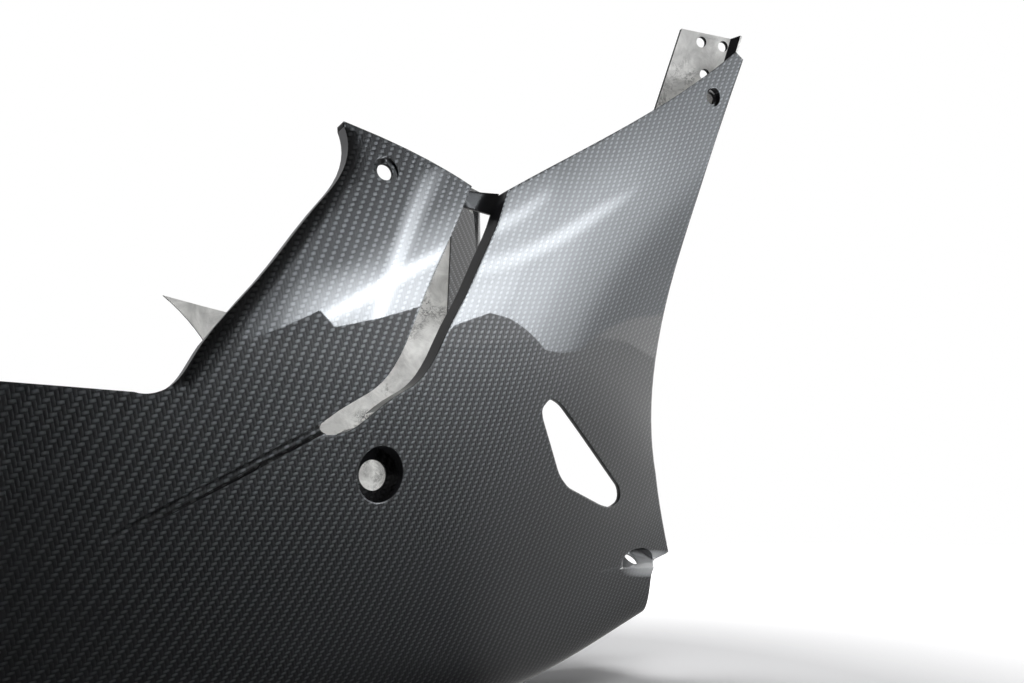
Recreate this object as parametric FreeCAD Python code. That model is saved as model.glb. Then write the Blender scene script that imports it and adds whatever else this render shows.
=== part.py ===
import FreeCAD, Part
import math
import os

# Belly pan of a motorcycle: one moulded carbon laminate, open at the top, front and rear.
# +X points to the front of the motorcycle, +Y to its left side, +Z up. Millimetres.
# The origin is on the ground plane, under the middle of the pan.

V = FreeCAD.Vector

# Laminate
laminate = 2.0

# Lines of the hull: half-widths at each station, from the rear end to the front end
stations = (-356.0, -223.0, -93.0, 37.0, 147.0, 237.0, 297.0, 356.0)
keel_heights = (0.0, 0.0, 0.0, 0.0, 6.0, 29.0, 50.0, 69.5)
floor_half_widths = (110.0, 108.0, 98.0, 82.0, 60.0, 52.0, 48.0, 45.5)
bilge_half_widths = (168.0, 163.0, 146.0, 120.0, 90.0, 66.0, 57.0, 53.0)
side_half_widths = (190.0, 185.0, 168.0, 143.0, 114.0, 86.0, 72.0, 64.0)
shoulder_half_widths = (203.0, 200.0, 184.0, 160.0, 138.0, 113.0, 96.0, 85.5)
arm_half_widths = (208.0, 206.0, 195.0, 175.0, 160.0, 147.0, 138.0, 133.0)
arm_top_half_widths = (210.0, 209.0, 202.0, 187.0, 179.0, 180.0, 182.0, 186.0)
rail_half_widths = (212.0, 211.0, 206.0, 197.0, 194.0, 200.0, 212.0, 225.0)
side_height = 140.0
shoulder_height = 230.0
arm_height = 330.0
arm_top_height = 430.0
rail_height = 540.0
bilge_foot = 10.0
bilge_rise = 26.0
bilge_top_height = 60.0
bilge_bulge = 4.0

# Side outline
rear_end_x = -339.0
rear_edge_height = 182.0
rear_edge_rise = 5.0
front_corner = (339.0, 105.4)
front_foot_x = 302.0
front_step_height = 93.0
front_tip = (283.6, 509.5)
front_tip_run = 8.5
front_tip_fall = 4.0
middle_tip = (-50.0, 347.5)
middle_arm_front = (44.0, 338.0)
front_arm_rear = (74.3, 344.3)
left_tip = (-60.5, 334.5)
left_arm_front = (44.0, 318.0)

# Folded edges
rear_flange_depth = 9.0
slot_lip_depth = 15.0
vent_lip_depth = 4.0
bridge_depth = 13.0
bridge_drop_left = 20.0
bridge_shift_left = -7.0
bridge_rear_top = (43.0, 340.0)
bridge_middle_top = (60.0, 343.0)
bridge_rear_foot = (38.5, 329.0)
bridge_middle_foot = (60.0, 330.5)
bridge_front_rise = (1.7, 2.2)
bridge_front_drop = (-3.3, -13.3)
edge_overlap = 0.6

# Fixing points, as places in the side view
middle_hole = (-20.0, 328.0)
left_middle_hole = (12.0, 306.0)
middle_hole_radius = 5.0
middle_seat_radius = 8.5
front_hole = (267.0, 469.0)
front_hole_radius = 5.2
front_seat_radius = 7.5
cup_centre = (-1.4, 156.6)
cup_radius = 16.0
cup_depth = 7.0
cup_hole_radius = 9.0
seat_depth = 0.4
ledge_hole = (282.6, -58.8)
ledge_hole_radius = 6.8

# Groove from the slot to the rear
groove_radius = 3.0
groove_start = (-34.0, 184.0)
groove_middle = (-104.6, 142.5)
groove_end = (-153.4, 115.0)
groove_start_rise = 0.2
groove_middle_rise = 0.9

# Ledge at the front foot, with a shallow oval hollow round its hole
ledge_rear_x = 225.0
ledge_edge_rear_x = 253.0
ledge_height = 95.0
ledge_recess = 12.0
ledge_slope = 42.0
ledge_fade_x = 258.0
ledge_fade_height = 290.0
ledge_bottom = 60.0
hollow_half_length = 30.0
hollow_half_width = 13.0
hollow_half_height = 12.0

# Return plates inside the front arms
plate_top_height = 527.0
plate_foot_height = 335.0
plate_width_top = 46.0
plate_width_foot = 52.0
plate_turn = 14.0
plate_fold_gap = 8.0
plate_fold_run = 3.0
plate_foot_x = 259.0
plate_lean = 33.0
plate_spread = 57.0
plate_holes = ((-30.5, -7.5), (-11.0, -7.5), (-24.0, -33.0))
plate_hole_radius = 4.4

# Lengths of the bodies that cut and trim
reach = 300.0
middle_gap = 20.0
drill_overrun = 1.0
ledge_drill_half = 6.0


def half_section(index, depth):
    """Control points (half-width, height) of one station, moved inward by depth."""
    keel = keel_heights[index]
    floor = floor_half_widths[index]
    bilge = bilge_half_widths[index]
    points = [
        (0.0, keel),
        (floor, keel),
        (bilge - 0.12 * (bilge - floor), keel + bilge_foot),
        (bilge + bilge_bulge, max(bilge_top_height, keel + bilge_rise)),
        (side_half_widths[index], side_height),
        (shoulder_half_widths[index], shoulder_height),
        (arm_half_widths[index], arm_height),
        (arm_top_half_widths[index], arm_top_height),
        (rail_half_widths[index], rail_height),
    ]
    moved = []
    for i, (width, height) in enumerate(points):
        before = points[max(i - 1, 0)]
        after = points[min(i + 1, len(points) - 1)]
        run = after[0] - before[0]
        rise = after[1] - before[1]
        length = math.hypot(run, rise)
        moved.append((width - depth * rise / length, height + depth * run / length))
    moved[-1] = (moved[-1][0], rail_height)
    return moved


def even_knots(count):
    """Knots and multiplicities of a clamped cubic with evenly spaced spans."""
    spans = count - 3
    return list(range(spans + 1)), [4] + [1] * (spans - 1) + [4]


def hull_surface(depth):
    """Skin of the whole hull, set inward by depth."""
    rows = []
    for i, x in enumerate(stations):
        half = half_section(i, depth)
        right = [V(x, -w, h) for w, h in reversed(half[1:])]
        left = [V(x, w, h) for w, h in half]
        rows.append(right + left)
    along, along_counts = even_knots(len(rows))
    across, across_counts = even_knots(len(rows[0]))
    surface = Part.BSplineSurface()
    surface.buildFromPolesMultsKnots(
        rows, along_counts, across_counts, along, across, False, False, 3, 3
    )
    return surface


def hull_body(depth):
    """Closed body under the rail height with the hull's skin."""
    surface = hull_surface(depth)
    rear_u, front_u, right_v, left_v = surface.bounds()
    rear = surface.uIso(rear_u).toShape()
    front = surface.uIso(front_u).toShape()
    right = surface.vIso(right_v).toShape()
    left = surface.vIso(left_v).toShape()
    rear_line = Part.makeLine(surface.value(rear_u, right_v), surface.value(rear_u, left_v))
    front_line = Part.makeLine(surface.value(front_u, right_v), surface.value(front_u, left_v))
    faces = [
        surface.toShape(),
        Part.Face(Part.Wire([rear, rear_line])),
        Part.Face(Part.Wire([front, front_line])),
        Part.Face(Part.Wire(Part.__sortEdges__([right, front_line, left, rear_line]))),
    ]
    shell = Part.makeShell(faces)
    shell.sewShape()
    body = Part.makeSolid(Part.Shell(shell.Faces))
    if body.Volume < 0:
        body.reverse()
    return body


outer_surface = hull_surface(0.0)
outer_body = hull_body(0.0)
inner_body = hull_body(laminate)


def skin_width(x, z):
    """Half-width of the outer skin at a place in the side view."""
    line = Part.Line(V(x, 0, z), V(x, -1, z))
    points = line.intersectCS(outer_surface)[0]
    return max(-p.Y for p in points)


def spline(points):
    """Smooth edge through places in the side view."""
    curve = Part.BSplineCurve()
    curve.interpolate([V(x, 0, z) for x, z in points])
    return curve.toShape()


def straight(a, b):
    return Part.makeLine(V(a[0], 0, a[1]), V(b[0], 0, b[1]))


def side_face(edges):
    return Part.Face(Part.Wire(Part.__sortEdges__(edges)))


def across(face, low, high):
    """Body of a side-view face between two places across the pan."""
    moved = face.copy()
    moved.translate(V(0, low, 0))
    return moved.extrude(V(0, high - low, 0))


def mirrored(shape):
    return shape.mirror(V(0, 0, 0), V(0, 1, 0))


# Side outline of the right side, up to the folded edges
below = -40.0
rear_edge_front = (-141.0, rear_edge_height + rear_edge_rise)
rear_arm_edge = (
    (-125.6, 191.2),
    (-115.6, 208.4),
    (-89.4, 249.3),
    (-62.0, 294.9),
    (-46.5, 324.5),
    (-45.8, 331.5),
    (-49.5, 344.5),
)
middle_top_edge = (
    middle_tip,
    (-20.5, 346.5),
    (14.8, 343.2),
    middle_arm_front,
)
front_arm_top_edge = (
    front_arm_rear,
    (150.8, 400.0),
    (193.4, 431.6),
    (264.7, 490.9),
    front_tip,
)
front_tip_lower = (front_tip[0] + front_tip_run, front_tip[1] - front_tip_fall)
front_edge = (
    front_tip_lower,
    (280.0, 450.7),
    (266.7, 376.5),
    (258.8, 304.7),
    (265.5, 234.5),
    (283.0, 187.3),
    (313.5, 138.2),
    front_corner,
)
front_step = (
    front_corner,
    (front_foot_x + 18.0, front_step_height + 7.5),
    (front_foot_x + 4.5, front_step_height + 1.5),
    (front_foot_x, front_step_height - 9.0),
)
foot_edges = [
    straight(front_arm_rear, middle_arm_front),
    spline(front_arm_top_edge),
    straight(front_tip, front_tip_lower),
    spline(front_edge),
    spline(front_step),
    straight(front_step[-1], (front_foot_x, below)),
    straight((front_foot_x, below), (rear_end_x, below)),
    straight((rear_end_x, below), (rear_end_x, rear_edge_height)),
    straight((rear_end_x, rear_edge_height), rear_edge_front),
]
right_face = side_face(foot_edges + [
    spline((rear_edge_front, (-132.0, 187.6)) + rear_arm_edge),
    straight(rear_arm_edge[-1], middle_tip),
    spline(middle_top_edge),
])

# Left middle arm: a slimmer pointed fin, cut back for the stand
left_rear_edge = (
    rear_edge_front,
    (-100.0, 190.0),
    (-60.0, 199.0),
    (-25.0, 222.0),
    (-10.0, 256.0),
    (-23.5, 295.0),
    left_tip,
)
left_face = side_face(foot_edges + [
    spline(left_rear_edge),
    spline((left_tip, (-4.0, 325.0), left_arm_front)),
    straight(left_arm_front, middle_arm_front),
])

# Slot between the middle arm and the front arm, open at the top in the outer skin
slot_rear_edge = (
    (52.0, 362.0),
    middle_arm_front,
    (39.0, 324.0),
    (28.7, 296.0),
    (13.5, 256.0),
    (4.0, 228.0),
    (-9.4, 206.5),
    (-30.0, 192.0),
    (-40.0, 184.5),
)
slot_end = (
    (-40.0, 184.5),
    (-43.5, 180.0),
    (-40.0, 175.5),
)
slot_front_edge = (
    (-40.0, 175.5),
    (-27.0, 178.5),
    (0.0, 199.5),
    (17.0, 211.0),
    (28.0, 226.0),
    (38.3, 250.0),
    (48.0, 270.0),
    (60.4, 301.0),
    (68.4, 321.0),
    front_arm_rear,
    (82.0, 362.0),
)
slot_face = side_face([
    spline(slot_rear_edge),
    spline(slot_end),
    spline(slot_front_edge),
    straight(slot_front_edge[-1], slot_rear_edge[0]),
])


def beside(points, distance):
    """Points moved square to the path, to its right when seen from the right side."""
    moved = []
    for i, (x, z) in enumerate(points):
        before = points[max(i - 1, 0)]
        after = points[min(i + 1, len(points) - 1)]
        run = after[0] - before[0]
        rise = after[1] - before[1]
        length = math.hypot(run, rise)
        moved.append((x + distance * rise / length, z - distance * run / length))
    return moved


def strip_face(points, width):
    """Narrow band along a side-view path."""
    other = beside(points, width)
    return side_face([
        spline(points),
        straight(points[-1], other[-1]),
        spline(other),
        straight(other[0], points[0]),
    ])


# Vent in the front arm
vent = (
    (137.5, 216.5),
    (129.5, 207.5),
    (132.0, 201.0),
    (159.5, 163.5),
    (172.0, 155.5),
    (218.0, 143.8),
    (233.0, 142.0),
    (245.0, 148.5),
    (241.5, 158.5),
    (150.0, 213.5),
)


def rounded_face(corners, radius):
    """Side-view polygon with every corner rounded by an arc as large as its sides allow."""
    count = len(corners)
    edges = []
    ends = []
    for i in range(count):
        corner = V(corners[i][0], 0, corners[i][1])
        before = V(corners[i - 1][0], 0, corners[i - 1][1])
        after = V(corners[(i + 1) % count][0], 0, corners[(i + 1) % count][1])
        back = (before - corner).normalize()
        ahead = (after - corner).normalize()
        half = 0.5 * back.getAngle(ahead)
        room = 0.46 * min(before.distanceToPoint(corner), after.distanceToPoint(corner))
        cut = min(radius / math.tan(half), room)
        turn = cut * math.tan(half)
        start = corner + back * cut
        end = corner + ahead * cut
        middle = corner + (back + ahead).normalize() * (turn / math.sin(half) - turn)
        edges.append(Part.Arc(start, middle, end).toShape())
        ends.append((start, end))
    for i in range(count):
        edges.append(Part.makeLine(ends[i][1], ends[(i + 1) % count][0]))
    return side_face(edges)


vent_radius = 30.0
vent_face = rounded_face(vent, vent_radius)
vent_rim_face = vent_face.makeOffset2D(laminate, 0, False, False, False)


def round_bar(place, radius, low, high):
    """Cylinder across the pan."""
    return Part.makeCylinder(radius, high - low, V(place[0], low, place[1]), V(0, 1, 0))


def seat_plane(place, radius, depth):
    """Half-width of a flat seat that lies depth inside the skin round its whole rim."""
    widths = [
        skin_width(place[0] + radius * math.cos(a), place[1] + radius * math.sin(a))
        for a in (0.0, math.pi / 2, math.pi, 3 * math.pi / 2)
    ]
    return min(widths) - depth


# Dents in the skin: each is a body taken from the outside, and the same body one laminate larger
def seat_dents(place, radius, depth):
    """A flat round seat on each side, as (dent, larger dent)."""
    plane = seat_plane(place, radius, depth)
    dent = round_bar(place, radius, -reach, -plane)
    larger = round_bar(place, radius + laminate, -reach, -plane + laminate)
    return plane, dent, larger


middle_plane, middle_dent, middle_dent_larger = seat_dents(middle_hole, middle_seat_radius, seat_depth)
front_plane, front_dent, front_dent_larger = seat_dents(front_hole, front_seat_radius, seat_depth)
cup_plane, cup_dent, cup_dent_larger = seat_dents(cup_centre, cup_radius, cup_depth)


def groove_body(radius):
    """Round bar that lies in the skin at the slot and leaves it at its tail."""
    start = V(groove_start[0], -skin_width(*groove_start) - groove_start_rise, groove_start[1])
    middle = V(groove_middle[0], -skin_width(*groove_middle) - groove_middle_rise, groove_middle[1])
    end = V(groove_end[0], -skin_width(*groove_end) - groove_radius, groove_end[1])
    path = Part.Wire([Part.Arc(start, middle, end).toShape()])
    tangent = path.Edges[0].tangentAt(path.Edges[0].FirstParameter)
    ring = Part.Wire([Part.makeCircle(radius, start, tangent)])
    return path.makePipeShell([ring], True, False)


def half_space(point, normal, size):
    """Large block on the side of a plane that the normal points to."""
    block = Part.makeBox(2 * size, 2 * size, size, V(-size, -size, 0))
    turn = FreeCAD.Rotation(V(0, 0, 1), normal)
    block.Placement = FreeCAD.Placement(point, turn)
    return block


# The ledge's outer edge runs along the skin, and the ledge slopes up from it towards the inside
ledge_edge = V(front_foot_x, -skin_width(front_foot_x, front_step_height), front_step_height)
ledge_edge_rear = V(ledge_edge_rear_x, -skin_width(ledge_edge_rear_x, ledge_height), ledge_height)
ledge_run = (ledge_edge - ledge_edge_rear).normalize()
ledge_outward = V(ledge_run.y, -ledge_run.x, 0).normalize()
ledge_tilt = math.radians(ledge_slope)
ledge_up = ledge_outward * math.sin(ledge_tilt) + V(0, 0, math.cos(ledge_tilt))
ledge_inward = ledge_up.cross(ledge_run)
ledge_drop = (V(ledge_hole[0], ledge_hole[1], ledge_edge.z) - ledge_edge).dot(ledge_up) / ledge_up.z
ledge_seat = V(ledge_hole[0], ledge_hole[1], ledge_edge.z - ledge_drop)


def hollow(depth):
    """Oval hollow over the ledge's hole, larger all round by depth."""
    axes = (
        ledge_run * (hollow_half_length + depth),
        ledge_inward * (hollow_half_width + depth),
        ledge_up * (hollow_half_height + depth),
    )
    along, inward, up = axes
    matrix = FreeCAD.Matrix(
        along.x, inward.x, up.x, ledge_seat.x,
        along.y, inward.y, up.y, ledge_seat.y,
        along.z, inward.z, up.z, ledge_seat.z,
        0, 0, 0, 1,
    )
    return Part.makeSphere(1.0).transformGeometry(matrix)


def ledge_dent(depth):
    """Wedge over the front foot of the right side: a wall that turns in and a sloped ledge."""
    rear = V(ledge_rear_x, -skin_width(ledge_rear_x, ledge_height), ledge_height)
    front_width = skin_width(front_corner[0], front_corner[1]) - ledge_recess
    front = V(front_corner[0], -front_width, front_corner[1])
    top = V(ledge_fade_x, -skin_width(ledge_fade_x, ledge_fade_height), ledge_fade_height)
    normal = (front - rear).cross(top - rear).normalize()
    if normal.y > 0:
        normal = normal * -1
    wall = half_space(rear - normal * depth, normal, reach)
    ledge = half_space(ledge_edge - ledge_up * depth, ledge_up, reach)
    block_foot = V(ledge_rear_x, -reach, ledge_bottom)
    block = Part.makeBox(stations[-1] - ledge_rear_x, reach, ledge_fade_height - ledge_bottom, block_foot)
    return wall.common(ledge).common(block).fuse(hollow(depth).common(ledge))


left_plane, left_dent, left_dent_larger = seat_dents(left_middle_hole, middle_seat_radius, seat_depth)
outer_dents = [front_dent, cup_dent, groove_body(groove_radius), ledge_dent(0.0)]
inner_dents = [
    front_dent_larger,
    cup_dent_larger,
    groove_body(groove_radius + laminate),
    ledge_dent(laminate),
]

outer_body = outer_body.cut(
    outer_dents + [mirrored(d) for d in outer_dents] + [middle_dent, mirrored(left_dent)]
)
inner_body = inner_body.cut(
    inner_dents + [mirrored(d) for d in inner_dents] + [middle_dent_larger, mirrored(left_dent_larger)]
)

# Skin: the outer body inside the side outline, less the inner body
halves = across(right_face, -reach, 0).fuse(across(left_face, 0, reach)).removeSplitter()
skin = outer_body.common(halves)
skin = skin.cut(inner_body)
both_sides = across(slot_face, -reach, -middle_gap).fuse(across(slot_face, middle_gap, reach))
skin = skin.cut(both_sides)
vent_hole = across(vent_face, -reach, -middle_gap).fuse(across(vent_face, middle_gap, reach))
skin = skin.cut(vent_hole)


def folded_in(face, depth):
    """Body of a side-view face from the right skin to depth inside it, measured across."""
    deeper = outer_body.copy()
    deeper.translate(V(0, depth, 0))
    band = across(face, -reach, -middle_gap).common(outer_body)
    return band.cut(deeper)


flange_path = beside(rear_arm_edge + (middle_tip,), -edge_overlap)
flange_face = strip_face(flange_path, laminate + edge_overlap).common(right_face)
rear_flange = folded_in(flange_face, rear_flange_depth)
lip_path = beside(slot_front_edge[1:], -edge_overlap)
lip_face = strip_face(lip_path, laminate + edge_overlap).cut(slot_face).common(right_face)
slot_lip = folded_in(lip_face, slot_lip_depth)
vent_lip = folded_in(vent_rim_face.cut(vent_face), vent_lip_depth)


def bridge_body(drop, shift):
    """Recessed strip that joins the two arms over the slot, lower at its rear end by drop."""
    front_top = (front_arm_rear[0] + bridge_front_rise[0], front_arm_rear[1] + bridge_front_rise[1])
    front_foot = (front_arm_rear[0] + bridge_front_drop[0], front_arm_rear[1] + bridge_front_drop[1])
    rear_top = (bridge_rear_top[0] + shift, bridge_rear_top[1] - drop)
    rear_foot = (bridge_rear_foot[0] + shift, bridge_rear_foot[1] - drop)
    middle_top = (bridge_middle_top[0], bridge_middle_top[1] - drop)
    middle_foot = (bridge_middle_foot[0], bridge_middle_foot[1] - drop)
    face = side_face([
        spline((rear_top, middle_top, front_top)),
        straight(front_top, front_foot),
        spline((front_foot, middle_foot, rear_foot)),
        straight(rear_foot, rear_top),
    ])
    front = outer_body.copy()
    front.translate(V(0, bridge_depth, 0))
    back = outer_body.copy()
    back.translate(V(0, bridge_depth + laminate, 0))
    return across(face, -reach, -middle_gap).common(front).cut(back)


def bridge_cheek(drop, shift):
    """Short flange from the middle arm's front edge back to the bridge."""
    foot = (bridge_rear_foot[0] - 1.0 + shift, bridge_rear_foot[1] - 3.0 - drop)
    middle = (bridge_rear_foot[0] + 1.5 + shift, bridge_rear_foot[1] + 2.0 - drop)
    top = (bridge_rear_top[0] + shift, bridge_rear_top[1] - 2.5 - drop)
    path = (foot, middle, top)
    return folded_in(strip_face(path, -laminate), bridge_depth + laminate)


def return_plate():
    """Plate behind the right front arm, folded at the arm's front edge."""
    wires = []
    foot_half_width = skin_width(plate_foot_x, plate_foot_height)
    for height, width, edge_x, edge_half_width in (
        (plate_foot_height, plate_width_foot, plate_foot_x, foot_half_width),
        (plate_top_height, plate_width_top, plate_foot_x + plate_lean, foot_half_width + plate_spread),
    ):
        fold_x = edge_x - plate_fold_run
        fold_y = plate_fold_gap - edge_half_width
        corners = [
            (edge_x, -edge_half_width),
            (fold_x, fold_y + laminate),
            (fold_x - width, fold_y + laminate + plate_turn),
            (fold_x - width, fold_y + plate_turn),
            (fold_x - laminate, fold_y),
            (edge_x - laminate, -edge_half_width),
        ]
        points = [V(x, y, height) for x, y in corners]
        wires.append(Part.makePolygon(points + [points[0]]))
    plate = Part.makeLoft(wires, True, True)
    corner = (plate_foot_x + plate_lean, plate_top_height)
    holes = []
    for x, z in plate_holes:
        place = (corner[0] + x, corner[1] + z)
        holes.append(round_bar(place, plate_hole_radius, -reach, -middle_gap))
    return plate.cut(holes)


right_pieces = [
    rear_flange,
    slot_lip,
    vent_lip,
    bridge_body(0.0, 0.0),
    bridge_cheek(0.0, 0.0),
    return_plate(),
]
left_pieces = [mirrored(piece) for piece in (
    slot_lip,
    vent_lip,
    bridge_body(bridge_drop_left, bridge_shift_left),
    bridge_cheek(bridge_drop_left, bridge_shift_left),
    return_plate(),
)]
pan = skin.fuse(right_pieces + left_pieces)


# Fixing holes through the seats, the cups and the ledges
def seat_drill(place, radius, plane):
    return round_bar(place, radius, -plane - drill_overrun, -plane + laminate + drill_overrun)


ledge_drill = Part.makeCylinder(
    ledge_hole_radius, 2 * ledge_drill_half, ledge_seat - ledge_up * ledge_drill_half, ledge_up
)
shared_drills = [
    seat_drill(front_hole, front_hole_radius, front_plane),
    seat_drill(cup_centre, cup_hole_radius, cup_plane),
    ledge_drill,
]
drills = shared_drills + [mirrored(d) for d in shared_drills]
drills.append(seat_drill(middle_hole, middle_hole_radius, middle_plane))
drills.append(mirrored(seat_drill(left_middle_hole, middle_hole_radius, left_plane)))
pan = pan.cut(drills)
pan = pan.removeSplitter()

os.makedirs("parts", exist_ok=True)
pan.exportStep("parts/pan_shell.step")
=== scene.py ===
import math

import bmesh
import bpy
import numpy as np
from mathutils import Matrix, Vector
from mathutils.bvhtree import BVHTree
from mathutils.interpolate import poly_3d_calc


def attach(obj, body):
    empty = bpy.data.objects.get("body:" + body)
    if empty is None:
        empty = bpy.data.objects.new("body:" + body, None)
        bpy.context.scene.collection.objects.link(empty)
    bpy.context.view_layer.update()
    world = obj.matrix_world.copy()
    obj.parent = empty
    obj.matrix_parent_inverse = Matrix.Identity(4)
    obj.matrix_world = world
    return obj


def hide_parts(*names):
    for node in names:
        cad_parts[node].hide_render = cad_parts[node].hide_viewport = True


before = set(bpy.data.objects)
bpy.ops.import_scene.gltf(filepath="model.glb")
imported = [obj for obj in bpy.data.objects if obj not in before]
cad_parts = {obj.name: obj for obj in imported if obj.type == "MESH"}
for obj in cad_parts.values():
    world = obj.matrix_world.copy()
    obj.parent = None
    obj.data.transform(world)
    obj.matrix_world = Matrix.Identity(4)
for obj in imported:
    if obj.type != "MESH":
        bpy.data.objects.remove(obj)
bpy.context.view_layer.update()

MM = 0.001

# The mould. The laminate was laid in one smooth mould, whose lines are the pan's own lines. It isn't a
# piece: it gives each place of the skin its true normal, and says how the cloth lies on it.
# Its lines are in millimetres, from the rear end to the front end.
wall = 2.0
bilge_foot = 10
bilge_rise = 26
bilge_top_height = 60
bilge_bulge = 4
bilge_round = 0.12
hull_lines = (
    # x, keel, floor, bilge, side, shoulder, arm, arm top, rail
    (-356, 0, 110, 168, 190, 203, 208, 210, 212),
    (-223, 0, 108, 163, 185, 200, 206, 209, 211),
    (-93, 0, 98, 146, 168, 184, 195, 202, 206),
    (37, 0, 82, 120, 143, 160, 175, 187, 197),
    (147, 6, 60, 90, 114, 138, 160, 179, 194),
    (237, 29, 52, 66, 86, 113, 147, 180, 200),
    (297, 50, 48, 57, 72, 96, 138, 182, 212),
    (356, 69.5, 45.5, 53, 64, 85.5, 133, 186, 225),
)
line_heights = (140, 230, 330, 430, 540)
mould_steps = (200, 400)


def half_station(row, depth):
    """Control points of one station, from the keel to the rail, moved in by depth."""
    keel, floor, bilge = row[1], row[2], row[3]
    points = [(0, keel), (floor, keel)]
    points.append((bilge - bilge_round * (bilge - floor), keel + bilge_foot))
    points.append((bilge + bilge_bulge, max(bilge_top_height, keel + bilge_rise)))
    points += list(zip(row[4:], line_heights))
    moved = []
    for i, (width, height) in enumerate(points):
        before, after = points[max(i - 1, 0)], points[min(i + 1, len(points) - 1)]
        run, rise = after[0] - before[0], after[1] - before[1]
        length = math.hypot(run, rise)
        moved.append((width - depth * rise / length, height + depth * run / length))
    return moved


def cubic_weights(count, places):
    """Weights of a clamped cubic curve's control points at places from 0 to 1."""
    knots = np.concatenate(([0, 0, 0], np.arange(count - 2), [count - 3] * 3)).astype(float)
    t = np.clip(places, 0, 1 - 1e-9)[:, None] * (count - 3)
    weights = ((knots[None, :-1] <= t) & (t < knots[None, 1:])).astype(float)
    for degree in (1, 2, 3):
        size = len(knots) - 1 - degree
        left = knots[degree:degree + size] - knots[:size]
        right = knots[degree + 1:degree + 1 + size] - knots[1:1 + size]
        rise = (t - knots[:size]) / np.where(left > 0, left, 1) * (left > 0)
        fall = (knots[degree + 1:degree + 1 + size] - t) / np.where(right > 0, right, 1) * (right > 0)
        weights = rise * weights[:, :size] + fall * weights[:, 1:1 + size]
    return weights


def mould_grid(depth):
    """Places on the mould, rear to front and right rail to left rail, in metres."""
    net = []
    for row in hull_lines:
        half = half_station(row, depth)
        right = [(row[0], -w, h) for w, h in reversed(half[1:])]
        net.append(right + [(row[0], w, h) for w, h in half])
    net = np.array(net, float) * MM
    along = cubic_weights(net.shape[0], np.linspace(0, 1, mould_steps[0] + 1))
    across = cubic_weights(net.shape[1], np.linspace(0, 1, mould_steps[1] + 1))
    return np.einsum("ai,bj,ijk->abk", along, across, net)


def mould_mesh(places):
    """The mould as a grid mesh, with its vertices in the order of the places."""
    bm = bmesh.new()
    bmesh.ops.create_grid(bm, x_segments=mould_steps[0], y_segments=mould_steps[1], size=1)
    order = sorted(bm.verts, key=lambda v: (round(v.co.x, 5), round(v.co.y, 5)))
    for vert, place in zip(order, places.reshape(-1, 3)):
        vert.co = place
    for number, vert in enumerate(order):
        vert.index = number
    bm.verts.sort()
    return bm


outer_places = mould_grid(0.0)
outer_mould = mould_mesh(outer_places)
inner_mould = mould_mesh(mould_grid(wall))
outer_tree = BVHTree.FromBMesh(outer_mould)
inner_tree = BVHTree.FromBMesh(inner_mould)
outer_mould.faces.ensure_lookup_table()

slope_along = np.gradient(outer_places, axis=0)
slope_across = np.gradient(outer_places, axis=1)
mould_normals = np.cross(slope_across, slope_along)
mould_normals /= np.linalg.norm(mould_normals, axis=2, keepdims=True)
if mould_normals[0, 0, 1] > 0:
    mould_normals = -mould_normals
mould_normals = mould_normals.reshape(-1, 3)

# The cloth: a 2x2 twill, laid a little off the length of the pan and pulled open up the sides. It isn't a
# piece of its own. Its two coordinates count tows, across the upright tows and across the level tows.
tow_across = 1.72
tow_level_low = 1.70
tow_level_middle = 2.4
tow_level_high = 2.75
pulled_open_from = 60
pulled_open_over = 200
cloth_turn = math.radians(15)
cloth_lean = math.radians(12)

middle_column = mould_steps[1] // 2


def from_keel(steps):
    """Running sums of the steps round each station, counted from the keel."""
    sums = np.concatenate((np.zeros((len(steps), 1)), np.cumsum(steps, axis=1)), axis=1)
    return sums - sums[:, middle_column:middle_column + 1]


step_lengths = np.linalg.norm(np.diff(outer_places, axis=1), axis=2) / MM
step_heights = (outer_places[:, 1:, 2] + outer_places[:, :-1, 2]) / 2 / MM
open_share = np.clip((step_heights - pulled_open_from) / pulled_open_over, 0, 1)
tow_level = tow_level_low + (tow_level_high - tow_level_low) * open_share
girth = from_keel(step_lengths)
level_count = from_keel(step_lengths / tow_level)
lengths = outer_places[:, :, 0] / MM
cloth_a = (lengths * math.cos(cloth_turn) - girth * math.sin(cloth_turn)) / tow_across
cloth_b = -level_count * math.cos(cloth_lean) - lengths * math.sin(cloth_lean) / tow_level_middle
cloth = np.stack((cloth_a, cloth_b), axis=2).reshape(-1, 2)


def on_mould(place):
    """Normal, cloth coordinates, and distance of a place from the outer face of the mould."""
    near, _, number, distance = outer_tree.find_nearest(place)
    corners = outer_mould.faces[number].verts
    shares = poly_3d_calc([v.co for v in corners], near)
    normal = sum((Vector(mould_normals[v.index]) * s for v, s in zip(corners, shares)), Vector())
    threads = sum(cloth[v.index] * s for v, s in zip(corners, shares))
    return normal.normalized(), threads, distance


# The skin's slight turns. Toward its front edge the skin turns to the front, and it rolls over into the
# folded rear edge of the right middle arm. Both are too slight for the mould's lines, and the gloss
# shows them.
front_turn = math.radians(14)
front_turn_start = 0.085
front_turn_length = 0.198
front_turn_power = 1.4
front_turn_low = 0.06
front_turn_rise = 0.08
rear_turn = math.radians(-34)
rear_turn_width = 0.010
rear_edge_lean = 0.86
rear_arm_edge = (
    (-125.6, 191.2), (-115.6, 208.4), (-89.4, 249.3), (-62.0, 294.9),
    (-46.5, 324.5), (-45.8, 331.5), (-49.5, 344.5),
)
rear_edge_x, rear_edge_z = np.array(rear_arm_edge).T * MM


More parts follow.
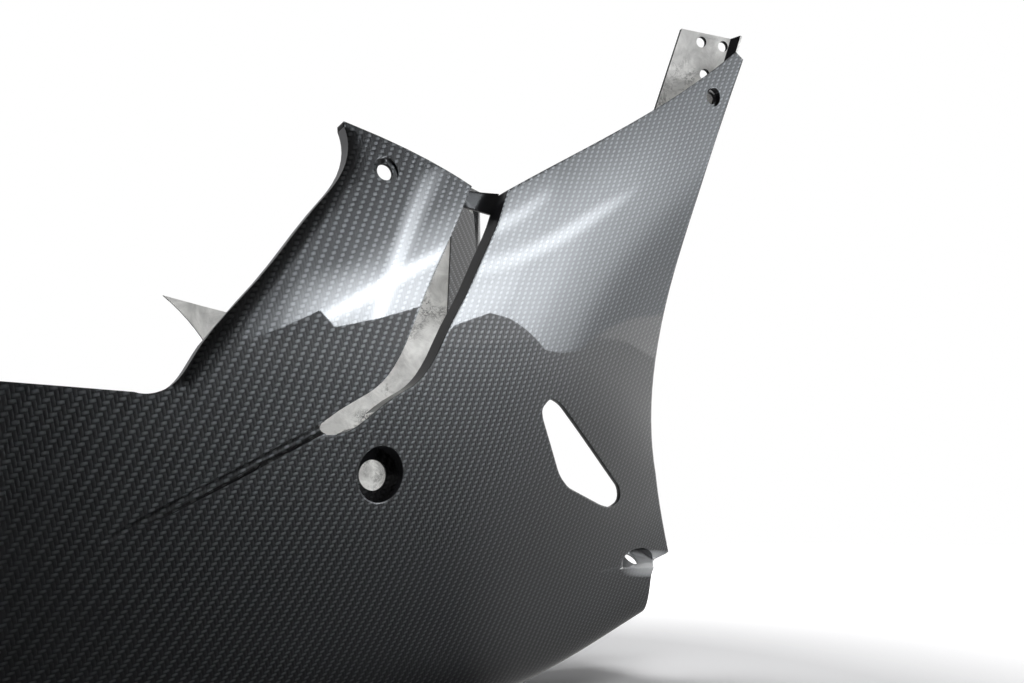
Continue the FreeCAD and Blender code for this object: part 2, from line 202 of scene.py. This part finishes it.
def skin_normal(place):
    """Normal of the outer face, with the slight turns near its edges."""
    along = min(max((place.x - front_turn_start) / front_turn_length, 0), 1) ** front_turn_power
    turn = front_turn * along * min(max((place.z - front_turn_low) / front_turn_rise, 0), 1)
    if place.y < 0 and rear_edge_z[0] < place.z < rear_edge_z[-1]:
        inside = rear_edge_lean * (place.x - np.interp(place.z, rear_edge_z, rear_edge_x))
        turn += rear_turn * max(1 - max(inside, 0) / rear_turn_width, 0)
    return Matrix.Rotation(turn if place.y < 0 else -turn, 3, "Z") @ on_mould(place)[0]


# The pan: one moulded shell of laminate, with its arms, folded flanges, dents and return plates in one
# piece. Glossy twill shows outside, the bare resin of the back inside, and the trimmed edges are black.
# The CAD mesh is split finer along the mould, so that the skin's gloss has no facets.
facet_length = 0.009
split_rounds = 4
split_reach = 0.0005
skin_near = 0.0004
doubles = 1e-7
pan_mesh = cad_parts["pan_shell"].data.copy()
pan = bpy.data.objects.new("belly_pan", pan_mesh)
bpy.context.scene.collection.objects.link(pan)

bm = bmesh.new()
bm.from_mesh(pan_mesh)
bmesh.ops.remove_doubles(bm, verts=bm.verts, dist=doubles)
bmesh.ops.dissolve_degenerate(bm, dist=doubles, edges=bm.edges)
on_outer = bm.verts.layers.int.new("on_outer")
on_inner = bm.verts.layers.int.new("on_inner")
for vert in bm.verts:
    vert[on_outer] = int(outer_tree.find_nearest(vert.co)[3] < skin_near)
    vert[on_inner] = int(inner_tree.find_nearest(vert.co)[3] < skin_near)


def place_key(place):
    """A place as a key that two equal places share."""
    return tuple(round(c, 6) for c in place)


for _ in range(split_rounds):
    long_edges = []
    for edge in bm.edges:
        ends = edge.verts
        both_outer = ends[0][on_outer] and ends[1][on_outer]
        both_inner = ends[0][on_inner] and ends[1][on_inner]
        if edge.calc_length() > facet_length and (both_outer or both_inner):
            long_edges.append((edge, both_outer))
    sides = {}
    for edge, outer in long_edges:
        sides[place_key((edge.verts[0].co + edge.verts[1].co) / 2)] = outer
    made = bmesh.ops.subdivide_edges(bm, edges=[e for e, _ in long_edges], cuts=1, use_grid_fill=False)
    for vert in made["geom_inner"]:
        if not isinstance(vert, bmesh.types.BMVert):
            continue
        outer = sides.get(place_key(vert.co))
        if outer is None:
            continue
        mould = outer_tree if outer else inner_tree
        near = mould.find_nearest(vert.co)
        if near[3] < split_reach:
            vert.co = near[0]
            vert[on_outer] = int(outer)
            vert[on_inner] = int(not outer)
    bmesh.ops.triangulate(bm, faces=[f for f in bm.faces if len(f.verts) > 3])

# Which finish each face of the pan has. Skin faces also take the mould's smooth normal.
CARBON, RESIN, EDGE, PAINTED_GREY_EDGE = 0, 1, 2, 3
skin_facing = 0.8
lip_facing = 0.55
outer_lip_depth = 0.012
inner_lip_depth = 0.016
seats = ((-0.020, 0.328, 0.0053, 0.0087), (0.012, 0.306, 0.0053, 0.0087), (0.267, 0.469, 0.0055, 0.0077))
seat_depth = 0.0024
plate_foot_height = 0.335
plate_rear_x = 0.19
plate_gap = 0.004
plate_facing = 0.6
ledge_rear_x = 0.215
ledge_depth = 0.016
ledge_facing = 0.9
ledge_seat = Vector((0.2826, -0.0588, 0.10109))
ledge_up = Vector((0.13663, -0.65503, 0.74314))
ledge_run = Vector((-ledge_up.y, ledge_up.x, 0)).normalized()
hollow_sizes = (0.030, 0.013, 0.012)
hollow_share = 1.08
hollow_back_share = 0.06
flange_half_depth = 0.006


def in_hollow(place, depth):
    """1 on the oval hollow over the ledge's hole, less inside it."""
    off = Vector((place.x, -abs(place.y), place.z)) - ledge_seat
    axes = (ledge_run, ledge_up.cross(ledge_run), ledge_up)
    return sum((off.dot(axis) / (size + depth)) ** 2 for axis, size in zip(axes, hollow_sizes)) ** 0.5


def in_seat(place):
    """Whether a place is on a dished screw seat, off its bore."""
    return any(hole < math.hypot(place.x - x, place.z - z) < rim for x, z, hole, rim in seats)


def on_rolled_edge(place):
    """Whether a place is on the rolled rear edge of the right middle arm."""
    if place.y > 0 or not rear_edge_z[0] < place.z < rear_edge_z[-1]:
        return False
    return abs(place.x - np.interp(place.z, rear_edge_z, rear_edge_x)) < flange_half_depth


def finish_of(face):
    """Finish of a face, and 1 or -1 where it takes the mould's normal, outward or inward."""
    centre = face.calc_center_median()
    normal, _, distance = on_mould(centre)
    facing = face.normal.dot(normal)
    outward = face.normal.y * (1 if centre.y > 0 else -1)
    if distance < skin_near and facing > skin_facing:
        return CARBON, 1
    if inner_tree.find_nearest(centre)[3] < skin_near and facing < -skin_facing:
        return RESIN, -1
    if (centre.z > plate_foot_height and centre.x > plate_rear_x and distance > plate_gap
            and abs(outward) > plate_facing):
        return (RESIN if outward > 0 else CARBON), 0
    if distance < seat_depth and in_seat(centre):
        return CARBON, 1
    if in_hollow(centre, 0) < hollow_share:
        return CARBON, 0
    if abs(in_hollow(centre, wall * MM) - 1) < hollow_back_share:
        return RESIN, 0
    if facing > ledge_facing and distance < ledge_depth and centre.x > ledge_rear_x:
        return CARBON, 1
    if facing > lip_facing and distance < outer_lip_depth and centre.x < ledge_rear_x:
        return CARBON, 0
    if facing < -lip_facing and distance < inner_lip_depth:
        return RESIN, 0
    # The rolled rear edge gets a grey that paints in its reflection of the bright surroundings.
    return (PAINTED_GREY_EDGE if on_rolled_edge(centre) else EDGE), 0


bm.normal_update()
bm.faces.index_update()
cloth_layer = bm.loops.layers.uv.new("cloth")
skin_sense = {}
for face in bm.faces:
    face.material_index, sense = finish_of(face)
    face.smooth = True
    if sense:
        skin_sense[face.index] = sense
    for loop in face.loops:
        loop[cloth_layer].uv = on_mould(loop.vert.co)[1]
bm.to_mesh(pan_mesh)
bm.free()

pan_mesh.set_sharp_from_angle(angle=math.radians(30))
corner_normals = [Vector(n.vector) for n in pan_mesh.corner_normals]
for number, sense in skin_sense.items():
    for corner in pan_mesh.polygons[number].loop_indices:
        place = pan_mesh.vertices[pan_mesh.loops[corner].vertex_index].co
        corner_normals[corner] = skin_normal(place) * sense
pan_mesh.normals_split_custom_set(corner_normals)


def sockets(group, side, names):
    """Adds sockets to a node group, as (name, type, value)."""
    for name, kind, value in names:
        socket = group.interface.new_socket(name=name, in_out=side, socket_type=kind)
        if value is not None:
            socket.default_value = value


def chain(tree, operation, a, b=None, clamp=False):
    """One Math node; a and b are numbers or outputs."""
    node = tree.nodes.new("ShaderNodeMath")
    node.operation = operation
    node.use_clamp = clamp
    for slot, value in enumerate((a, b)):
        if value is None:
            continue
        if isinstance(value, (int, float)):
            node.inputs[slot].default_value = value
        else:
            tree.links.new(value, node.inputs[slot])
    return node.outputs[0]


def over(tree, value, start, gain):
    """How far a value is over a start, times a gain, from 0 to 1."""
    return chain(tree, "MULTIPLY", chain(tree, "SUBTRACT", value, start), gain, clamp=True)


def mix_colour(tree, share, first, second):
    """One colour Mix node; each value is a number, a colour or an output."""
    node = tree.nodes.new("ShaderNodeMix")
    node.data_type = "RGBA"
    for slot, kind, value in (("Factor", "VALUE", share), ("A", "RGBA", first), ("B", "RGBA", second)):
        socket = next(s for s in node.inputs if s.name == slot and s.type == kind)
        if isinstance(value, (int, float, tuple)):
            socket.default_value = value
        else:
            tree.links.new(value, socket)
    return next(s for s in node.outputs if s.type == "RGBA")


# Twill: two tows over, two under, one step on at each row. The level floats catch the light as short
# pale ticks in leaning rows, and the upright floats between them stay dark.
twill_repeat = 4.0
upright_on_top = 1.5
twill = bpy.data.node_groups.new("twill_cloth", "ShaderNodeTree")
sockets(twill, "INPUT", (("Cloth", "NodeSocketVector", None),))
sockets(twill, "OUTPUT", (("Tick", "NodeSocketFloat", None), ("Height", "NodeSocketFloat", None)))
group_in = twill.nodes.new("NodeGroupInput")
group_out = twill.nodes.new("NodeGroupOutput")
parts = twill.nodes.new("ShaderNodeSeparateXYZ")
twill.links.new(group_in.outputs[0], parts.inputs[0])
a, b = parts.outputs[0], parts.outputs[1]
frac_a = chain(twill, "FRACT", a)
frac_b = chain(twill, "FRACT", b)
step = chain(twill, "SUBTRACT", chain(twill, "FLOOR", a), chain(twill, "FLOOR", b))
phase = chain(twill, "FLOORED_MODULO", step, twill_repeat)
level_top = chain(twill, "GREATER_THAN", phase, upright_on_top)
along_level = chain(twill, "ADD", chain(twill, "SUBTRACT", phase, 2.0), frac_a)
along_upright = chain(twill, "ADD", chain(twill, "SUBTRACT", 1.0, phase), frac_b)


def float_height(along, across, bow, roundness):
    """Height of a tow's float, bowed along its two crossings and round across."""
    arch = chain(twill, "ABSOLUTE", chain(twill, "SINE", chain(twill, "MULTIPLY", along, math.pi / 2)))
    side = chain(twill, "SINE", chain(twill, "MULTIPLY", across, math.pi))
    side = chain(twill, "POWER", side, roundness)
    return chain(twill, "MULTIPLY", chain(twill, "POWER", arch, bow), side)


level_height = float_height(along_level, frac_b, bow=0.5, roundness=0.55)
upright_height = float_height(along_upright, frac_a, bow=0.6, roundness=0.6)
tick = chain(twill, "MULTIPLY", level_height, level_top)
low = chain(twill, "MULTIPLY", upright_height, chain(twill, "SUBTRACT", 1.0, level_top))
twill.links.new(tick, group_out.inputs["Tick"])
twill.links.new(chain(twill, "ADD", tick, low), group_out.inputs["Height"])


def new_material(name):
    """A material with its node tree and its shader."""
    material = bpy.data.materials.new(name)
    material.use_nodes = True
    tree = material.node_tree
    return material, tree, tree.nodes["Principled BSDF"]


def rounded_corners(tree, radius=0.0018):
    """Normal that rounds each corner of the piece a little, as the resin does."""
    node = tree.nodes.new("ShaderNodeBevel")
    node.samples = 6
    node.inputs["Radius"].default_value = radius
    return node.outputs[0]


# Clear-coated carbon of the outer face. Round the ledge's hole a pale grey is painted over the cloth and
# hides
# it: a painted reflection of the floor on the ledge, which also paints over the shade in the hollow above
# it.
painted_reflection_x, painted_reflection_half_length = 0.304, 0.046
painted_reflection_z, painted_reflection_half_height = 0.0965, 0.0115
dark_tow = (0.006, 0.006, 0.0065, 1)
pale_tow = (0.160, 0.162, 0.165, 1)
painted_reflection_grey = (0.46, 0.47, 0.48, 1)
carbon, tree, shader = new_material("clear_coated_carbon")
cloth_map = tree.nodes.new("ShaderNodeUVMap")
cloth_map.uv_map = "cloth"
weave = tree.nodes.new("ShaderNodeGroup")
weave.node_tree = twill
tree.links.new(cloth_map.outputs[0], weave.inputs[0])
tone = mix_colour(tree, weave.outputs["Tick"], dark_tow, pale_tow)
# Painted reflection: pale grey mixed over the cloth round the ledge's hole, fading away from its middle.
spot = tree.nodes.new("ShaderNodeSeparateXYZ")
tree.links.new(tree.nodes.new("ShaderNodeTexCoord").outputs["Object"], spot.inputs[0])
off_x = chain(tree, "DIVIDE", chain(tree, "SUBTRACT", spot.outputs[0], painted_reflection_x), painted_reflection_half_length)
off_z = chain(tree, "DIVIDE", chain(tree, "SUBTRACT", spot.outputs[2], painted_reflection_z), painted_reflection_half_height)
fade_x = chain(tree, "POWER", chain(tree, "ABSOLUTE", off_x), 2.0)
fade_z = chain(tree, "POWER", chain(tree, "ABSOLUTE", off_z), 4.0)
painted_reflection = chain(tree, "SUBTRACT", 1.0, chain(tree, "ADD", fade_x, fade_z), clamp=True)
tone = mix_colour(tree, painted_reflection, tone, painted_reflection_grey)
tree.links.new(tone, shader.inputs["Base Color"])
metal = chain(tree, "MULTIPLY", weave.outputs["Tick"], 6.0, clamp=True)
metal = chain(tree, "MULTIPLY", metal, chain(tree, "SUBTRACT", 1.0, painted_reflection))
tree.links.new(metal, shader.inputs["Metallic"])
shader.inputs["Roughness"].default_value = 0.47
shader.inputs["Coat Weight"].default_value = 1.0
shader.inputs["Coat Roughness"].default_value = 0.015
shader.inputs["Coat IOR"].default_value = 1.52
bump = tree.nodes.new("ShaderNodeBump")
bump.inputs["Strength"].default_value = 0.5
bump.inputs["Distance"].default_value = 0.00025
tree.links.new(weave.outputs["Height"], bump.inputs["Height"])
tree.links.new(bump.outputs[0], shader.inputs["Normal"])
tree.links.new(rounded_corners(tree), shader.inputs["Coat Normal"])

# Bare resin on the back of the laminate: pale silvery grey, clouded, with dark veins and specks
resin_grey = (0.50, 0.50, 0.49, 1)
resin_pale = (0.93, 0.93, 0.91, 1)
vein_black = (0.06, 0.06, 0.06, 1)
vein_strength = 0.9
resin, tree, shader = new_material("marbled_resin")
spot = tree.nodes.new("ShaderNodeTexCoord")


def cloud(scale, detail, roughness, distortion):
    """Soft noise over the resin."""
    node = tree.nodes.new("ShaderNodeTexNoise")
    node.inputs["Scale"].default_value = scale
    node.inputs["Detail"].default_value = detail
    node.inputs["Roughness"].default_value = roughness
    node.inputs["Distortion"].default_value = distortion
    tree.links.new(spot.outputs["Object"], node.inputs["Vector"])
    return node.outputs[0]


clouds = cloud(38.0, 6.0, 0.6, 0.8)
veins = cloud(62.0, 8.0, 0.66, 2.2)
patches = cloud(24.0, 4.0, 0.5, 0.3)
grains = cloud(300.0, 3.0, 0.6, 0.0)
vein_depth = chain(tree, "ABSOLUTE", chain(tree, "SUBTRACT", veins, 0.5))
vein = chain(tree, "SUBTRACT", 1.0, chain(tree, "MULTIPLY", vein_depth, 22.0, clamp=True), clamp=True)
grain = over(tree, grains, 0.56, 9.0)
patch = chain(tree, "MULTIPLY", over(tree, patches, 0.50, 8.0), vein_strength)
dark_share = chain(tree, "MULTIPLY", chain(tree, "MAXIMUM", vein, grain), patch)
tone = mix_colour(tree, over(tree, clouds, 0.33, 3.0), resin_grey, resin_pale)
tone = mix_colour(tree, dark_share, tone, vein_black)
tree.links.new(tone, shader.inputs["Base Color"])
shader.inputs["Roughness"].default_value = 0.40
bump = tree.nodes.new("ShaderNodeBump")
bump.inputs["Strength"].default_value = 0.7
bump.inputs["Distance"].default_value = 0.0006
tree.links.new(chain(tree, "ADD", clouds, veins), bump.inputs["Height"])
tree.links.new(bump.outputs[0], shader.inputs["Normal"])

# Trimmed and folded edges: black resin-rich laminate, polished
edge, tree, shader = new_material("black_edge")
shader.inputs["Base Color"].default_value = (0.008, 0.008, 0.009, 1)
shader.inputs["Roughness"].default_value = 0.3
shader.inputs["Specular IOR Level"].default_value = 0.25
shader.inputs["Coat Weight"].default_value = 0.35
shader.inputs["Coat Roughness"].default_value = 0.05
rounded = rounded_corners(tree)
tree.links.new(rounded, shader.inputs["Normal"])
tree.links.new(rounded, shader.inputs["Coat Normal"])

# The rolled rear edge of the right middle arm: plain satin laminate, painted grey as a painted reflection
# of the bright surroundings
reflection_grey_edge, tree, shader = new_material("painted_reflection_edge")
shader.inputs["Base Color"].default_value = (0.17, 0.17, 0.175, 1)
shader.inputs["Roughness"].default_value = 0.5

pan_mesh.materials[CARBON] = carbon
for material in (resin, edge, reflection_grey_edge):
    pan_mesh.materials.append(material)
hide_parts("pan_shell")
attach(pan, "root")

# Floor: a white sheet under the pan that keeps its shadow. In the gloss it is dark close by and lighter
# far ahead, in a narrow strip straight ahead, and to the left of the pan.
floor_radius = 6.0
floor_drop = 0.0005
floor_white = (0.86, 0.86, 0.87, 1)
white_from, white_gain = 0.5, 1.5
straight_ahead = (0.985, -0.174, 0)
strip_strength = 0.22
far_strength = 0.75
left_from, left_strength = 0.2, 0.5
bm = bmesh.new()
bmesh.ops.create_circle(bm, cap_ends=True, segments=96, radius=floor_radius)
floor_mesh = bpy.data.meshes.new("floor")
bm.to_mesh(floor_mesh)
bm.free()
floor = bpy.data.objects.new("floor", floor_mesh)
floor.location.z = -floor_drop
bpy.context.scene.collection.objects.link(floor)
sheet, tree, shader = new_material("white_sheet")
shader.inputs["Base Color"].default_value = floor_white
shader.inputs["Roughness"].default_value = 0.9
shader.inputs["Specular IOR Level"].default_value = 0.0
shader.inputs["Emission Color"].default_value = (1, 1, 1, 1)
path = tree.nodes.new("ShaderNodeLightPath")
spot = tree.nodes.new("ShaderNodeTexCoord")
reach = tree.nodes.new("ShaderNodeVectorMath")
reach.operation = "LENGTH"
tree.links.new(spot.outputs["Object"], reach.inputs[0])
distance = reach.outputs["Value"]
glow = chain(tree, "ADD", over(tree, distance, white_from, white_gain), 0.01)
glow = chain(tree, "MULTIPLY", path.outputs["Is Camera Ray"], glow)
tree.links.new(glow, shader.inputs["Emission Strength"])
mirrored = tree.nodes.new("ShaderNodeEmission")
heading = tree.nodes.new("ShaderNodeVectorMath")
heading.operation = "NORMALIZE"
tree.links.new(spot.outputs["Object"], heading.inputs[0])
toward = tree.nodes.new("ShaderNodeVectorMath")
toward.operation = "DOT_PRODUCT"
tree.links.new(heading.outputs[0], toward.inputs[0])
toward.inputs[1].default_value = straight_ahead
facing = toward.outputs["Value"]
far_ahead = chain(tree, "MULTIPLY", over(tree, facing, 0.3, 1.5), over(tree, distance, 0.12, 0.30))
far_ahead = chain(tree, "MULTIPLY", far_ahead, far_strength)
close = chain(tree, "SUBTRACT", 1.1, chain(tree, "MULTIPLY", distance, 0.6), clamp=True)
strip_ahead = chain(tree, "MULTIPLY", over(tree, facing, 0.86, 10.0), close)
strip_ahead = chain(tree, "MULTIPLY", strip_ahead, strip_strength)
ahead_light = chain(tree, "ADD", strip_ahead, far_ahead)
parts = tree.nodes.new("ShaderNodeSeparateXYZ")
tree.links.new(spot.outputs["Object"], parts.inputs[0])
left_light = chain(tree, "MULTIPLY", over(tree, parts.outputs[1], left_from, 0.7), left_strength)
tree.links.new(chain(tree, "ADD", ahead_light, left_light), mirrored.inputs["Strength"])
blend = tree.nodes.new("ShaderNodeMixShader")
tree.links.new(path.outputs["Is Glossy Ray"], blend.inputs[0])
tree.links.new(shader.outputs[0], blend.inputs[1])
tree.links.new(mirrored.outputs[0], blend.inputs[2])
tree.links.new(blend.outputs[0], tree.nodes["Material Output"].inputs["Surface"])
floor_mesh.materials.append(sheet)

# World: white for the camera and plain for the light. In the gloss it is dim behind the pan, light in
# front of it and a little light on its left side.
plain_light = 0.15
gloss_light = 0.06
front_strength = 1.1
left_wall_strength = 0.25
world = bpy.data.worlds.new("studio")
bpy.context.scene.world = world
world.use_nodes = True
tree = world.node_tree
background = tree.nodes["Background"]
path = tree.nodes.new("ShaderNodeLightPath")
level = chain(tree, "MULTIPLY", path.outputs["Is Camera Ray"], 1 - plain_light)
level = chain(tree, "ADD", level, plain_light)
heading = tree.nodes.new("ShaderNodeSeparateXYZ")
tree.links.new(tree.nodes.new("ShaderNodeTexCoord").outputs["Generated"], heading.inputs[0])
in_front = chain(tree, "MULTIPLY", over(tree, heading.outputs[0], 0.55, 4.0), front_strength)
left_wall = chain(tree, "MULTIPLY", heading.outputs[1], left_wall_strength, clamp=True)
mirrored = chain(tree, "ADD", chain(tree, "ADD", in_front, left_wall), gloss_light)
glossy = path.outputs["Is Glossy Ray"]
plain = chain(tree, "MULTIPLY", level, chain(tree, "SUBTRACT", 1.0, glossy))
mirrored = chain(tree, "MULTIPLY", glossy, mirrored)
tree.links.new(chain(tree, "ADD", plain, mirrored), background.inputs["Strength"])
background.inputs["Color"].default_value = (1, 1, 1, 1)

# Main lamp: a tall soft panel 3 m off, in front of the right side, seen in the gloss alone. Its lower
# edge is cut to an uneven line, which the glossy arms show as the edge between bright and dark, and its
# cloth hangs in folds. Its outline and folds are in millimetres, along the lamp and up from the floor.
lamp_azimuth = math.radians(-42)
lamp_distance = 3.0
lamp_square = Vector((math.cos(lamp_azimuth), math.sin(lamp_azimuth), 0))
lamp_side = Vector((-math.sin(lamp_azimuth), math.cos(lamp_azimuth), 0))
lamp_rear, lamp_front = -1500, 2300
lamp_top = 1500
lamp_strength = 10.5
lamp_colour = (0.90, 0.95, 1, 1)
lamp_folds = (
    # start, end, half-width, strength, sharpness
    ((-820, 60), (40, 800), 85, 14, 3.0),
    ((-320, 20), (-392, 1050), 75, 13, 3.0),
    ((-860, 40), (60, 820), 280, 6.0, 2.0),
    ((-840, 230), (200, 330), 330, 9.0, 1.5),
    ((-160, 480), (620, 650), 85, 7, 2.5),
)
lamp_outline = (
    (lamp_rear, 60), (-955, 65), (-799, 170), (-647, 282), (-541, 194), (-328, 264), (-141, 342),
    (-60, 200), (4, 132), (32, 233), (98, 262), (148, 280), (226, 249), (352, 201), (709, 72), (914, 58),
    (1185, 73), (1415, 154), (1704, 191), (lamp_front, 200), (lamp_front, lamp_top), (lamp_rear, lamp_top),
)
bm = bmesh.new()
face = bm.faces.new([
    bm.verts.new(lamp_square * lamp_distance + lamp_side * (s * MM) + Vector((0, 0, z * MM)))
    for s, z in lamp_outline
])
face.normal_update()
if face.normal.dot(lamp_square) > 0:
    face.normal_flip()
lamp_mesh = bpy.data.meshes.new("main_lamp")
bm.to_mesh(lamp_mesh)
bm.free()
lamp = bpy.data.objects.new("main_lamp", lamp_mesh)
bpy.context.scene.collection.objects.link(lamp)
lamp.visible_camera = False
lamp.visible_diffuse = False
lamp_cloth = bpy.data.materials.new("main_lamp")
lamp_cloth.use_nodes = True
lamp_mesh.materials.append(lamp_cloth)
tree = lamp_cloth.node_tree
tree.nodes.clear()
output = tree.nodes.new("ShaderNodeOutputMaterial")
glow = tree.nodes.new("ShaderNodeEmission")
glow.inputs["Color"].default_value = lamp_colour


def ramp_of(tree, value, stops):
    """A smooth ramp through (position, level) stops."""
    ramp = tree.nodes.new("ShaderNodeValToRGB")
    ramp.color_ramp.interpolation = "B_SPLINE"
    elements = ramp.color_ramp.elements
    for number, (position, height) in enumerate(stops):
        stop = elements[number] if number < 2 else elements.new(position)
        stop.position = position
        stop.color = (height, height, height, 1)
    tree.links.new(value, ramp.inputs[0])
    return ramp.outputs[0]


place = tree.nodes.new("ShaderNodeTexCoord")
parts = tree.nodes.new("ShaderNodeSeparateXYZ")
tree.links.new(place.outputs["Object"], parts.inputs[0])
sideways = tree.nodes.new("ShaderNodeVectorMath")
sideways.operation = "DOT_PRODUCT"
tree.links.new(place.outputs["Object"], sideways.inputs[0])
sideways.inputs[1].default_value = lamp_side
rise = ramp_of(tree, chain(tree, "DIVIDE", parts.outputs[2], lamp_top * MM), (
    (0.0, 0.9), (1.0, 0.02), (0.2, 1.0), (0.33, 0.90), (0.47, 0.58), (0.6, 0.27), (0.77, 0.10),
    (0.9, 0.05)))
along = chain(tree, "DIVIDE", chain(tree, "SUBTRACT", sideways.outputs["Value"], lamp_rear * MM),
              (lamp_front - lamp_rear) * MM)
across = ramp_of(tree, along, (
    (0.0, 0.08), (1.0, 0.09), (0.2, 0.15), (0.27, 0.27), (0.335, 0.58), (0.395, 1.0), (0.45, 1.0),
    (0.50, 0.88), (0.55, 0.55), (0.645, 0.26), (0.70, 0.12), (0.74, 0.09), (0.80, 0.08)))
light = chain(tree, "MULTIPLY", chain(tree, "MULTIPLY", rise, across), lamp_strength)


def fold(start, end, half_width, strength, sharpness):
    """A brighter fold in the lamp's cloth, from start to end on the lamp's plane."""
    run, height = (end[0] - start[0]) * MM, (end[1] - start[1]) * MM
    length = math.hypot(run, height)
    from_start = chain(tree, "SUBTRACT", sideways.outputs["Value"], start[0] * MM)
    over_start = chain(tree, "SUBTRACT", parts.outputs[2], start[1] * MM)
    along = chain(tree, "ADD", chain(tree, "MULTIPLY", from_start, run / length ** 2),
                  chain(tree, "MULTIPLY", over_start, height / length ** 2), clamp=True)
    beside = chain(tree, "SUBTRACT", chain(tree, "MULTIPLY", over_start, run / length),
                   chain(tree, "MULTIPLY", from_start, height / length))
    off = chain(tree, "MULTIPLY", chain(tree, "ABSOLUTE", beside), 1 / (half_width * MM), clamp=True)
    across = chain(tree, "COSINE", chain(tree, "MULTIPLY", off, math.pi / 2))
    across = chain(tree, "POWER", across, sharpness)
    along = chain(tree, "SINE", chain(tree, "MULTIPLY", along, math.pi))
    along = chain(tree, "POWER", along, 0.7)
    return chain(tree, "MULTIPLY", chain(tree, "MULTIPLY", across, along), strength)


for values in lamp_folds:
    light = chain(tree, "ADD", light, fold(*values))
tree.links.new(light, glow.inputs["Strength"])
tree.links.new(glow.outputs[0], output.inputs[0])


# Soft lights: four large plain ones, which light the pan and the floor but stay out of the gloss.
def soft_light(name, place, aim, size, watts):
    """A rectangular soft light that points at a place."""
    data = bpy.data.lights.new(name, "AREA")
    data.shape = "RECTANGLE"
    data.size, data.size_y = size
    data.energy = watts
    lamp = bpy.data.objects.new(name, data)
    lamp.location = place
    lamp.rotation_euler = (Vector(aim) - Vector(place)).to_track_quat("-Z", "Y").to_euler()
    bpy.context.scene.collection.objects.link(lamp)
    lamp.visible_glossy = False


soft_light("overhead", (-0.6, 0.4, 2.2), (0, 0, 0.2), (1.6, 1.6), 34)
soft_light("far_side", (0.2, 2.2, 1.3), (0, 0, 0.25), (1.6, 1.2), 8)
soft_light("over_the_rail", (-0.3, -1.1, 1.5), (0.05, 0.15, 0.15), (0.9, 0.9), 8)
soft_light("low_front", (0.9, -1.2, 0.25), (0.3, -0.06, 0.1), (0.8, 0.4), 5)

# Camera: as the photograph was taken, low and close on the right side
camera_place = (-0.210, -0.5745, 0.127)
ahead = Vector((0.566, 0.793, 0.226)).normalized()
right = Vector((0.814, -0.581, 0.0))
right = (right - ahead * right.dot(ahead)).normalized()
up = right.cross(ahead)
camera_data = bpy.data.cameras.new("camera")
camera_data.lens = 28.125
camera_data.sensor_width = 36.0
camera = bpy.data.objects.new("camera", camera_data)
bpy.context.scene.collection.objects.link(camera)
turned = Matrix((right, up, -ahead)).transposed().to_4x4()
camera.matrix_world = Matrix.Translation(camera_place) @ turned
bpy.context.scene.camera = camera
bpy.context.scene.view_settings.view_transform = "Standard"
